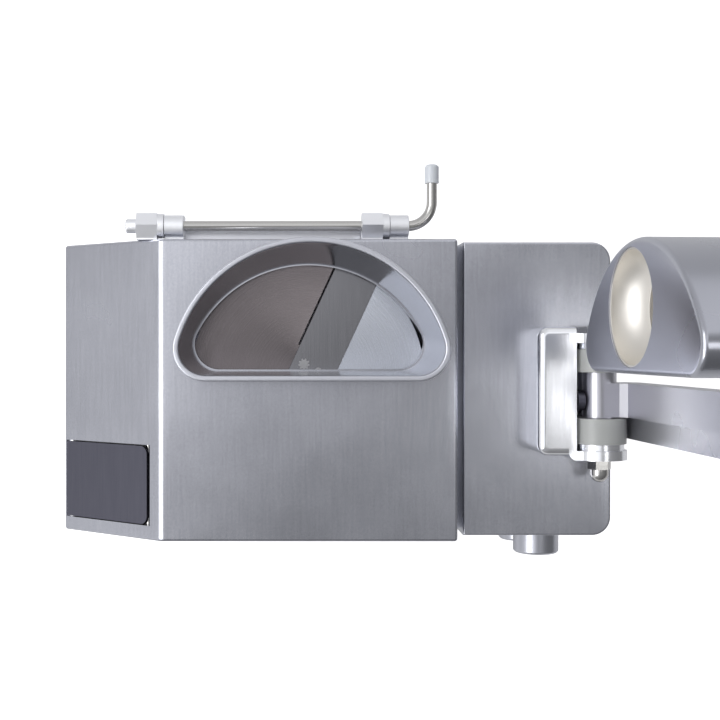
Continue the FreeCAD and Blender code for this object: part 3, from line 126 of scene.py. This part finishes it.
# The camera sees plain white; everything else is lit by the room's ramp
def makeWorld(plan):
    world = bpy.data.worlds.new("paleRoom")
    bpy.context.scene.world = world
    world.use_nodes = True
    tree = world.node_tree
    tree.nodes.clear()
    out = addNode(tree, "OutputWorld")
    room = addNode(tree, "Background")
    seen = addNode(tree, "Background")
    mix = addNode(tree, "MixShader")
    path = addNode(tree, "LightPath")
    coords = addNode(tree, "TexCoord")
    lean = addNode(tree, "VectorMath", operation="DOT_PRODUCT")
    lean.inputs[1].default_value = (plan["leanX"], plan["leanY"], 0)
    spread = addNode(tree, "MapRange")
    spread.inputs["From Min"].default_value = -1
    spread.inputs["From Max"].default_value = 1
    ramp = addNode(tree, "ValToRGB")
    steps = ramp.color_ramp.elements
    for index, (along, level) in enumerate(plan["room"]):
        if 0 < index < len(plan["room"]) - 1:
            step = steps.new((along + 1) / 2)
        else:
            step = steps[-1 if index else 0]
            step.position = (along + 1) / 2
        step.color = (*(level * part for part in plan["tint"]), 1)
    tree.links.new(coords.outputs["Generated"], lean.inputs[0])
    tree.links.new(lean.outputs["Value"], spread.inputs["Value"])
    tree.links.new(spread.outputs["Result"], ramp.inputs["Fac"])
    tree.links.new(ramp.outputs["Color"], room.inputs["Color"])
    seen.inputs["Color"].default_value = (1, 1, 1, 1)
    tree.links.new(path.outputs["Is Camera Ray"], mix.inputs[0])
    tree.links.new(room.outputs[0], mix.inputs[1])
    tree.links.new(seen.outputs[0], mix.inputs[2])
    tree.links.new(mix.outputs[0], out.inputs[0])


# A matt floor that the camera sees a little brighter, so that only the shadow shows on it
def makeFloor(size=6.0, pale=0.86, lift=0.72):
    data = bpy.data.meshes.new("floor")
    mesh = bmesh.new()
    bmesh.ops.create_grid(mesh, x_segments=1, y_segments=1, size=size)
    mesh.to_mesh(data)
    mesh.free()
    floor = bpy.data.objects.new("floor", data)
    bpy.context.scene.collection.objects.link(floor)
    material = bpy.data.materials.new("paleFloor")
    material.use_nodes = True
    tree = material.node_tree
    tree.nodes.clear()
    out = addNode(tree, "OutputMaterial")
    matt = addNode(tree, "BsdfDiffuse")
    matt.inputs["Color"].default_value = (pale, pale, pale, 1)
    glow = addNode(tree, "Emission")
    path = addNode(tree, "LightPath")
    gain = addNode(tree, "Math", operation="MULTIPLY")
    gain.inputs[1].default_value = lift
    total = addNode(tree, "AddShader")
    tree.links.new(path.outputs["Is Camera Ray"], gain.inputs[0])
    tree.links.new(gain.outputs[0], glow.inputs["Strength"])
    tree.links.new(matt.outputs[0], total.inputs[0])
    tree.links.new(glow.outputs[0], total.inputs[1])
    tree.links.new(total.outputs[0], out.inputs[0])
    data.materials.append(material)


bpy.context.scene.view_settings.view_transform = "Standard"
makeCamera(cameraPlace)
for panelName, panel in lightPlan["panels"].items():
    makePanel(panelName, *panel)
makeWorld(lightPlan)
makeFloor()
print("camera, lights and floor made")


# Materials: how deep a full bump is, and how far specks and lines lighten or darken a metal
pitDeep = 0.0003
ringDeep = 0.0002
speckTone = 0.022
scratchTone = 0.02
brushTone = 0.016


# Short ways to wire a tree
def startMaterial(name, colour, metallic=0.0, roughness=0.5):
    material = bpy.data.materials.new(name)
    material.use_nodes = True
    shader = material.node_tree.nodes["Principled BSDF"]
    shader.inputs["Base Color"].default_value = (*colour, 1)
    shader.inputs["Metallic"].default_value = metallic
    shader.inputs["Roughness"].default_value = roughness
    return material, material.node_tree, shader


def noiseOf(tree, scale, stretch=(1, 1, 1), detail=3.0):
    coords = addNode(tree, "TexCoord")
    mapping = addNode(tree, "Mapping")
    mapping.inputs["Scale"].default_value = stretch
    grain = addNode(tree, "TexNoise")
    grain.inputs["Scale"].default_value = scale
    grain.inputs["Detail"].default_value = detail
    tree.links.new(coords.outputs["Object"], mapping.inputs[0])
    tree.links.new(mapping.outputs[0], grain.inputs["Vector"])
    return grain.outputs["Fac"]


def ranged(tree, value, low, high, fromLow=0.3, fromHigh=0.7):
    node = addNode(tree, "MapRange")
    node.inputs["From Min"].default_value = fromLow
    node.inputs["From Max"].default_value = fromHigh
    node.inputs["To Min"].default_value = low
    node.inputs["To Max"].default_value = high
    tree.links.new(value, node.inputs["Value"])
    return node.outputs["Result"]


def blended(tree, value, dark, light, low=0.35, high=0.65):
    ramp = addNode(tree, "ValToRGB")
    for step, position, colour in zip(ramp.color_ramp.elements, (low, high), (dark, light)):
        step.position = position
        step.color = (*colour, 1)
    tree.links.new(value, ramp.inputs["Fac"])
    return ramp.outputs["Color"]


def bumped(tree, value, strength, distance):
    node = addNode(tree, "Bump")
    node.inputs["Strength"].default_value = strength
    node.inputs["Distance"].default_value = distance
    tree.links.new(value, node.inputs["Height"])
    return node.outputs["Normal"]


def scaled(colour, factor):
    return tuple(min(1, part * factor) for part in colour)


# Slow differences over a surface: the cloud, and the colour that it darkens and lightens
def clouded(tree, colour, patch, detail, darker, lighter, low=0.35, high=0.65):
    cloud = noiseOf(tree, patch, detail=detail)
    return cloud, blended(tree, cloud, scaled(colour, 1 - darker), scaled(colour, 1 + lighter), low, high)


# Specks or lines that lighten and darken a tone by this depth
def marked(tree, tone, mark, depth, strength=1):
    shade = addNode(tree, "MixRGB", blend_type="ADD")
    shade.inputs["Fac"].default_value = strength
    tree.links.new(tone, shade.inputs[1])
    tree.links.new(ranged(tree, mark, -depth, depth), shade.inputs[2])
    return shade.outputs[0]


# A roughness that a pattern makes a little smoother and rougher
def roughened(tree, shader, value, roughness, smoother, rougher):
    tree.links.new(ranged(tree, value, roughness - smoother, roughness + rougher), shader.inputs["Roughness"])


# Fine lines along one axis over slow cloudy differences, as on satin or ground metal
def brushedMetal(name, colour, roughness, along, fine=1300, drawn=0.02, patch=5, bite=0.025, variation=0.02):
    material, tree, shader = startMaterial(name, colour, 1.0, roughness)
    stretch = [1.0, 1.0, 1.0]
    stretch["XYZ".index(along)] = drawn
    lines = noiseOf(tree, fine, stretch, detail=4)
    tone = clouded(tree, colour, patch, 4, variation, variation)[1]
    tree.links.new(marked(tree, tone, lines, brushTone, strength=0.5), shader.inputs["Base Color"])
    roughened(tree, shader, lines, roughness, smoother=0.03, rougher=0.04)
    tree.links.new(bumped(tree, lines, bite, pitDeep), shader.inputs["Normal"])
    return material


# Satin sheet: a fine even grain, faint upright scratches and cloudy wear
def satinMetal(name, colour, roughness, grain=620, scratch=420, drawn=0.05, patch=11, bite=0.02,
               variation=0.05):
    material, tree, shader = startMaterial(name, colour, 1.0, roughness)
    speck = noiseOf(tree, grain, detail=2)
    lines = noiseOf(tree, scratch, (1, drawn, drawn), detail=3)
    cloud, tone = clouded(tree, colour, patch, 3, variation, variation, low=0.3, high=0.7)
    tone = marked(tree, tone, speck, speckTone)
    tone = marked(tree, tone, lines, scratchTone)
    tree.links.new(tone, shader.inputs["Base Color"])
    roughened(tree, shader, cloud, roughness, smoother=0.02, rougher=0.03)
    tree.links.new(bumped(tree, speck, bite, pitDeep), shader.inputs["Normal"])
    return material


# A cast or blasted skin with fine pits and slow differences
def castMetal(name, colour, roughness, grain=700, bite=0.15, patch=9, variation=0.025):
    material, tree, shader = startMaterial(name, colour, 1.0, roughness)
    pits = noiseOf(tree, grain, detail=3)
    cloud, tone = clouded(tree, colour, patch, 2, variation, variation)
    tree.links.new(tone, shader.inputs["Base Color"])
    roughened(tree, shader, cloud, roughness, smoother=0.02, rougher=0.03)
    tree.links.new(bumped(tree, pits, bite, pitDeep), shader.inputs["Normal"])
    return material


# Turned metal: fine rings about the spindle, which pull highlights out into radial beams. Its two colours are
# painted reflection: the dark colour stands for the dark walls that the face mirrors, and the colour named
# ground is painted on behind the blade as a bright painted reflection
def turnedMetal(name, colour, ground, roughness, pitch=2400, patch=16, bite=0.02, stretchBeams=0.75):
    material, tree, shader = startMaterial(name, colour, 1.0, roughness)
    coords = addNode(tree, "TexCoord")
    centred = addNode(tree, "VectorMath", operation="SUBTRACT")
    centred.inputs[1].default_value = (spindleX, spindleY, 0)
    flat = addNode(tree, "VectorMath", operation="MULTIPLY")
    flat.inputs[1].default_value = (1, 1, 0)
    reach = addNode(tree, "VectorMath", operation="LENGTH")
    rings = addNode(tree, "TexNoise", noise_dimensions="1D")
    rings.inputs["Scale"].default_value = pitch
    rings.inputs["Detail"].default_value = 2
    tree.links.new(coords.outputs["Object"], centred.inputs[0])
    tree.links.new(centred.outputs[0], flat.inputs[0])
    tree.links.new(flat.outputs[0], reach.inputs[0])
    tree.links.new(reach.outputs["Value"], rings.inputs["W"])
    tone = clouded(tree, colour, patch, 2, darker=0.07, lighter=0.06)[1]
    # painted reflection: behind the blade the face is painted brighter, in the colour named ground
    beside = addNode(tree, "VectorMath", operation="DOT_PRODUCT")
    beside.inputs[1].default_value = (math.cos(bladeTurn), math.sin(bladeTurn), 0)
    tree.links.new(centred.outputs[0], beside.inputs[0])
    behind = ranged(tree, beside.outputs["Value"], 0, 1, bladeRight - sideGap, bladeRight + sideGap)
    paintedReflectionArea = addNode(tree, "MixRGB")
    tree.links.new(behind, paintedReflectionArea.inputs[0])
    tree.links.new(tone, paintedReflectionArea.inputs[1])
    paintedReflectionArea.inputs[2].default_value = (*ground, 1)
    tree.links.new(paintedReflectionArea.outputs[0], shader.inputs["Base Color"])
    roughened(tree, shader, rings.outputs["Fac"], roughness, smoother=0.03, rougher=0.05)
    tree.links.new(bumped(tree, rings.outputs["Fac"], bite, ringDeep), shader.inputs["Normal"])
    around = addNode(tree, "Tangent", direction_type="RADIAL", axis="Z")
    shader.inputs["Anisotropic"].default_value = stretchBeams
    tree.links.new(around.outputs[0], shader.inputs["Tangent"])
    return material


# The hopper: polished inside, with a finely blasted rim that starts and ends this far under the top
rimStart, rimEnd = 0.0022, 0.0014


def hopperMetal(name, colour, inside, blasted, patch=9, grain=1100, bite=0.25, paleRim=1.05):
    material, tree, shader = startMaterial(name, colour, 1.0, inside)
    coords = addNode(tree, "TexCoord")
    split = addNode(tree, "SeparateXYZ")
    tree.links.new(coords.outputs["Object"], split.inputs[0])
    rim = ranged(tree, split.outputs["Z"], 0, 1, rimTop - rimStart, rimTop - rimEnd)
    wall = clouded(tree, colour, patch, 4, darker=0.03, lighter=0.03)[1]
    paler = addNode(tree, "MixRGB")
    tree.links.new(rim, paler.inputs[0])
    tree.links.new(wall, paler.inputs[1])
    paler.inputs[2].default_value = (*scaled(colour, paleRim), 1)
    tree.links.new(paler.outputs[0], shader.inputs["Base Color"])
    tree.links.new(ranged(tree, rim, inside, blasted, 0, 1), shader.inputs["Roughness"])
    pits = noiseOf(tree, grain, detail=2)
    depth = addNode(tree, "Math", operation="MULTIPLY")
    tree.links.new(rim, depth.inputs[0])
    tree.links.new(pits, depth.inputs[1])
    tree.links.new(bumped(tree, depth.outputs[0], bite, pitDeep), shader.inputs["Normal"])
    return material


# Moulded plastic or rubber: fine specks, and light that passes this far through where it is pale
lightReach = (0.004, 0.004, 0.0035)


def plastic(name, colour, roughness, grain=500, patch=20, bite=0.05, through=0.0):
    material, tree, shader = startMaterial(name, colour, 0.0, roughness)
    speck = noiseOf(tree, grain, detail=2)
    cloud, tone = clouded(tree, colour, patch, 4, darker=0.05, lighter=0.04)
    tree.links.new(tone, shader.inputs["Base Color"])
    roughened(tree, shader, cloud, roughness, smoother=0.04, rougher=0.05)
    tree.links.new(bumped(tree, speck, bite, ringDeep), shader.inputs["Normal"])
    if through:
        shader.inputs["Subsurface Weight"].default_value = through
        shader.inputs["Subsurface Radius"].default_value = lightReach
        shader.inputs["Subsurface Scale"].default_value = 1.0
    return material


# Colour, roughness, and what differs from the maker's own values
satinColour = (0.53, 0.54, 0.59)
finishes = {
    "satinSheet": satinMetal("satinSheet", satinColour, 0.25),
    "satinUpright": brushedMetal("satinUpright", satinColour, 0.30, "Z"),
    "hopperSatin": hopperMetal("hopperSatin", (0.58, 0.59, 0.64), 0.16, 0.42),
    "polishedCast": brushedMetal("polishedCast", (0.93, 0.94, 0.97), 0.20, "Y", fine=1100, bite=0.03),
    "armCast": castMetal("armCast", (0.52, 0.52, 0.56), 0.28, grain=420, bite=0.03),
    "pusherCast": castMetal("pusherCast", (0.46, 0.47, 0.52), 0.28, grain=600, bite=0.02),
    "blastedCast": castMetal("blastedCast", (0.93, 0.94, 0.97), 0.40, grain=900, bite=0.12),
    "railSatin": brushedMetal("railSatin", (0.92, 0.93, 0.98), 0.30, "X"),
    # the disc's dark colour and its brighter second colour behind the blade are painted reflections
    "discFace": turnedMetal("discFace", (0.24, 0.215, 0.22), (0.66, 0.69, 0.76), 0.28, stretchBeams=0.85),
    "bladeSteel": brushedMetal("bladeSteel", (0.31, 0.31, 0.33), 0.18, "Y", fine=1100, bite=0.05),
    "brightSteel": brushedMetal("brightSteel", (0.60, 0.59, 0.57), 0.18, "X", fine=700, bite=0.03),
    "darkPlate": brushedMetal("darkPlate", (0.125, 0.125, 0.155), 0.40, "Y", fine=1000, bite=0.12),
    "plainSteel": brushedMetal("plainSteel", (0.45, 0.45, 0.46), 0.4, "X"),
    "naturalWhite": plastic("naturalWhite", (0.42, 0.43, 0.42), 0.30, through=0.2),
    "creamTube": castMetal("creamTube", (0.80, 0.775, 0.73), 0.46, grain=500, bite=0.04),
    "paleCap": plastic("paleCap", (0.66, 0.69, 0.73), 0.25, through=0.3),
    "blackMoulded": plastic("blackMoulded", (0.028, 0.028, 0.032), 0.45, bite=0.15),
    "blackRubber": plastic("blackRubber", (0.02, 0.02, 0.02), 0.7, bite=0.3),
    "motorPaint": plastic("motorPaint", (0.06, 0.08, 0.10), 0.4, bite=0.1),
}

# Which finish each piece takes, and how far its edges are rounded, in millimetres
wear = {
    "satinSheet": {"lid_shell": 0.5, "drive_housing": 0.5},
    "satinUpright": {"base_housing": 0.5, "outlet_chute": 0.4, "upper_knob": 0.4, "lower_knob": 0.4},
    "hopperSatin": {"hopper": 0.0},
    "polishedCast": {"lever_bracket": 0.9, "collars": 0.3},
    "armCast": {"lever_arm": 0.7},
    "pusherCast": {"pusher": 0.6},
    "blastedCast": {"hinge_block_left": 0.6, "hinge_block_right": 0.6, "knuckle_left": 0.5,
                    "knuckle_right": 0.5, "feed_cover": 0.0, "bearing_housing": 0.4, "ejector_plate": 0.3},
    "railSatin": {"hinge_rail": 0.4},
    "discFace": {"slicing_disc": 0.25},
    "brightSteel": {"hinge_rod": 0.0, "latch_pin": 0.2, "lever_bolt": 0.3, "acorn_nut": 0.3,
                    "foot_screws": 0.2, "plate_screws": 0.2, "rail_screws": 0.2, "spindle": 0.2,
                    "motor_shaft": 0.2, "spindle_bearings": 0.2},
    "darkPlate": {"latch_flap": 0.6, "spindle_pulley": 0.3, "motor_pulley": 0.3, "clamp_bolt": 0.3},
    "plainSteel": {"motor_plate": 0.3, "motor_posts": 0.2, "base_plate": 0.3, "latch_tray": 0.4},
    "naturalWhite": {"front_bushing": 0.5, "rear_bushing": 0.5},
    "creamTube": {"feed_tube": 0.3},
    "paleCap": {"rod_cap": 0.3},
    "blackMoulded": {"handle_grip": 0.0, "switch_bodies": 0.5, "cable_gland": 0.3},
    "blackRubber": {"feet": 0.5, "shaft_seal": 0.2, "drive_belt": 0.3},
    "motorPaint": {"motor": 0.6},
}
print("finishes made")


# A piece that stands for a node: its own mesh, its finish, the body that carries it
def place(mesh, name, nodeName, finish):
    data = bpy.data.meshes.new(name)
    mesh.to_mesh(data)
    mesh.free()
    piece = bpy.data.objects.new(name, data)
    bpy.context.scene.collection.objects.link(piece)
    data.materials.append(finishes[finish])
    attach(piece, bodyOf[nodeName])
    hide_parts(nodeName)
    return piece


# The node's shape with joined facets, smooth curved faces, and edges that catch the light
def dressed(nodeName, finish, rounding, crease=28, coplanar=0.4, joined=2e-6):
    mesh = bmesh.new()
    mesh.from_mesh(nodes[nodeName].data)
    bmesh.ops.remove_doubles(mesh, verts=mesh.verts, dist=joined)
    bmesh.ops.dissolve_limit(mesh, angle_limit=math.radians(coplanar), verts=mesh.verts, edges=mesh.edges)
    bmesh.ops.recalc_face_normals(mesh, faces=mesh.faces)
    for face in mesh.faces:
        face.smooth = True
    for edge in mesh.edges:
        edge.smooth = len(edge.link_faces) == 2 and edge.calc_face_angle(0) < math.radians(crease)
    name = "finished" + "".join(part.title() for part in nodeName.split("_"))
    piece = place(mesh, name, nodeName, finish)
    if rounding:
        bevel = piece.modifiers.new("edges", "BEVEL")
        bevel.width = rounding / 1000
        bevel.segments = 2
        bevel.limit_method = "ANGLE"
        bevel.angle_limit = math.radians(crease)
        bevel.harden_normals = True
        bevel.use_clamp_overlap = True


for finishName, members in wear.items():
    for nodeName, rounding in members.items():
        dressed(nodeName, finishName, rounding)
print("nodes dressed")


# What is made about the origin is turned with the blade and set on the disc
def ontoDisc(mesh):
    bmesh.ops.rotate(mesh, verts=mesh.verts, cent=(0, 0, 0), matrix=Matrix.Rotation(bladeTurn, 3, "Z"))
    bmesh.ops.translate(mesh, verts=mesh.verts, vec=(spindleX, spindleY, discTop))
    bmesh.ops.recalc_face_normals(mesh, faces=mesh.faces)


# The hub's four screws with hexagon sockets, one of them on a toothed washer; they turn with the disc
hubPlan = {
    "reach": 0.008, "headRadius": 0.0034, "headHigh": 0.0006, "socketRadius": 0.0019,
    "socketDeep": 0.0005, "segments": 36,
    "teeth": 9, "root": 0.0044, "tip": 0.0058, "washerThick": 0.0005, "raised": 0.0003,
}


# Moves what an extrusion made, and gives its points and edges
def moveUp(mesh, extruded, height):
    fresh = [item for item in extruded["geom"] if isinstance(item, bmesh.types.BMVert)]
    bmesh.ops.translate(mesh, verts=fresh, vec=(0, 0, height))
    return fresh, [item for item in extruded["geom"] if isinstance(item, bmesh.types.BMEdge)]


def ringEdges(verts):
    return list({edge for vert in verts for edge in vert.link_edges})


def screwHead(mesh, plan):
    foot = bmesh.ops.create_circle(mesh, segments=plan["segments"], radius=plan["headRadius"])["verts"]
    wall = bmesh.ops.extrude_edge_only(mesh, edges=ringEdges(foot))
    top, topEdges = moveUp(mesh, wall, plan["headHigh"])
    socket = bmesh.ops.create_circle(mesh, segments=6, radius=plan["socketRadius"])["verts"]
    bmesh.ops.translate(mesh, verts=socket, vec=(0, 0, plan["headHigh"]))
    socketEdges = ringEdges(socket)
    bmesh.ops.bridge_loops(mesh, edges=topEdges + socketEdges)
    bore = bmesh.ops.extrude_edge_only(mesh, edges=socketEdges)
    deep, deepEdges = moveUp(mesh, bore, -plan["socketDeep"])
    bmesh.ops.edgeloop_fill(mesh, edges=deepEdges)
    return foot + top + socket + deep


def toothedWasher(mesh, plan):
    points = 4  # to each tooth, two on the tip and two on the root
    ring = bmesh.ops.create_circle(mesh, cap_ends=True, segments=plan["teeth"] * points,
                                   radius=plan["root"])["verts"]
    for index, vert in enumerate(ring):
        if index % points < points / 2:
            vert.co *= plan["tip"] / plan["root"]
    raised = bmesh.ops.extrude_face_region(mesh, geom=list(ring[0].link_faces))
    top = moveUp(mesh, raised, plan["washerThick"])[0]
    return ring + top


def hubScrews(plan):
    mesh = bmesh.new()
    for x in (-plan["reach"], plan["reach"]):
        for y in (-plan["reach"], plan["reach"]):
            verts = screwHead(mesh, plan)
            # the washer is under the screw behind on the left
            if x < 0 < y:
                bmesh.ops.translate(mesh, verts=verts, vec=(0, 0, plan["washerThick"]))
                verts += toothedWasher(mesh, plan)
            bmesh.ops.translate(mesh, verts=verts, vec=(x, y, plan["raised"]))
    ontoDisc(mesh)
    place(mesh, "hubScrews", "hub_screws", "plainSteel")


hubScrews(hubPlan)
print("hub screws made")

# The blade: a strip that reaches over its slot and ends in a ground edge
bladePlan = {
    "from": -0.012, "to": 0.1115, "thick": 0.0016, "mouth": 0.0009, "ground": 0.0012, "raised": 0.0003,
}


def slicingBlade(plan):
    mesh = bmesh.new()
    low = (bladeLeft - slotWide + plan["mouth"], plan["from"], -plan["thick"])
    high = (bladeRight - sideGap, plan["to"], plan["raised"])
    corners = bmesh.ops.create_cube(mesh, size=1)["verts"]
    size = Vector(high) - Vector(low)
    bmesh.ops.scale(mesh, verts=corners, vec=size)
    bmesh.ops.translate(mesh, verts=corners, vec=Vector(low) + size / 2)
    # the upper edge beside the slot
    edges = [edge for edge in mesh.edges
             if all(vert.co.x < low[0] + plan["mouth"] and vert.co.z > low[2] / 2 for vert in edge.verts)]
    bmesh.ops.bevel(mesh, geom=edges, offset=plan["ground"], offset_type="OFFSET", affect="EDGES",
                    segments=1, profile=0.5, material=-1)
    ontoDisc(mesh)
    place(mesh, "slicingBlade", "blade", "bladeSteel")


slicingBlade(bladePlan)
print("blade made")

made = {"blade", "hub_screws"}.union(*wear.values())
for nodeName in nodes:
    if nodeName not in made:
        print("no finish for", nodeName)
